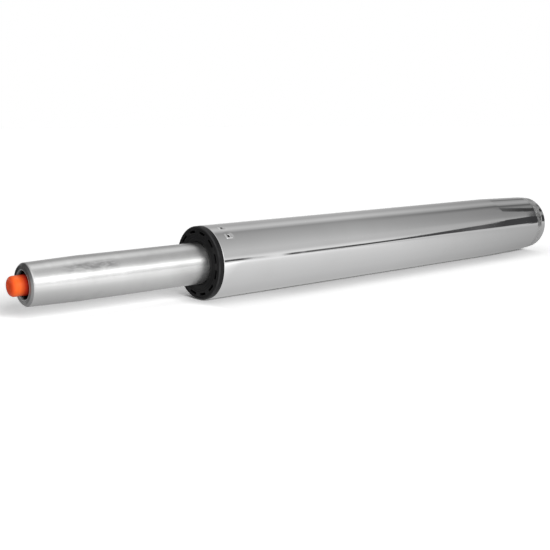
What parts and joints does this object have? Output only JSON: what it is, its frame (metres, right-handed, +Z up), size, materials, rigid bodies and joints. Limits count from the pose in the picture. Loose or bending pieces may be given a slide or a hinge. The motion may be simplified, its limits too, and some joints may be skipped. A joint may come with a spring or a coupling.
{
  "type": "chair gas lift cylinder",
  "caption": "Gas spring cylinder for a swivel chair: chromed tapered column, black guide sleeve, steel pressure tube with a tapered end and an orange release button.",
  "frame": {"origin": "centre of the column's base end face, on the cylinder's axis", "axes": "+X along the axis towards the base end, so the lift and the button lie along -X; +Z up with the cylinder lying down, its column resting on z = -25 mm"},
  "size_m": [0.5028, 0.05, 0.05],
  "materials": {
    "chrome_plate": "mirror chrome plate",
    "zinc_steel": "bright zinc, pressed",
    "black_plastic": "moulded, fine satin",
    "bearing_steel": "polished",
    "cage_brass": "stamped",
    "rubber": "matte",
    "ground_steel": "ground, fine rings",
    "spring_steel": "blued",
    "aluminium": "turned",
    "liner_steel": "drawn",
    "dark_aluminium": "anodised dark",
    "orange_plastic": "moulded, satin"
  },
  "bodies": {
    "column": {"outer_tube": "chrome_plate", "base_plate": "zinc_steel", "guide_sleeve": "black_plastic", "lower_race": "bearing_steel"},
    "bearing_cage": {"ball_cage": "cage_brass", "bearing_balls": "bearing_steel"},
    "rod": {"upper_race": "bearing_steel", "bumper_cup": "zinc_steel", "bumper": "rubber", "piston_rod": "ground_steel", "end_washer": "zinc_steel", "retaining_clip": "spring_steel", "piston": "aluminium", "piston_seal": "rubber", "piston_washer": "zinc_steel", "piston_nut": "zinc_steel"},
    "seat_tube": {"pressure_tube": "ground_steel", "closing_washer": "zinc_steel", "rod_seal": "rubber", "rod_guide": "aluminium", "guide_seal": "rubber", "cylinder_liner": "liner_steel", "valve_body": "dark_aluminium", "valve_seals": "rubber", "pin_seals": "rubber", "pin_spacer": "cage_brass", "valve_retainer": "zinc_steel"},
    "release": {"valve_pin": "ground_steel", "release_button": "orange_plastic"}
  },
  "joints": [
    {"name": "swivel", "type": "hinge", "parent": "column", "child": "rod", "pos_m": [0, 0, 0], "axis": [1, 0, 0], "continuous": true},
    {"name": "cage_roll", "type": "hinge", "parent": "column", "child": "bearing_cage", "pos_m": [0, 0, 0], "axis": [1, 0, 0], "continuous": true},
    {"name": "lift", "type": "slide", "parent": "rod", "child": "seat_tube", "axis": [-1, 0, 0], "range_m": [0, 0.25]},
    {"name": "button_press", "type": "slide", "parent": "seat_tube", "child": "release", "axis": [1, 0, 0], "range_m": [0, 0.004], "stiffness_N_per_m": 5000}
  ],
  "couplings": [
    {"joint": "cage_roll", "follows": "swivel", "ratio": 0.5}
  ]
}
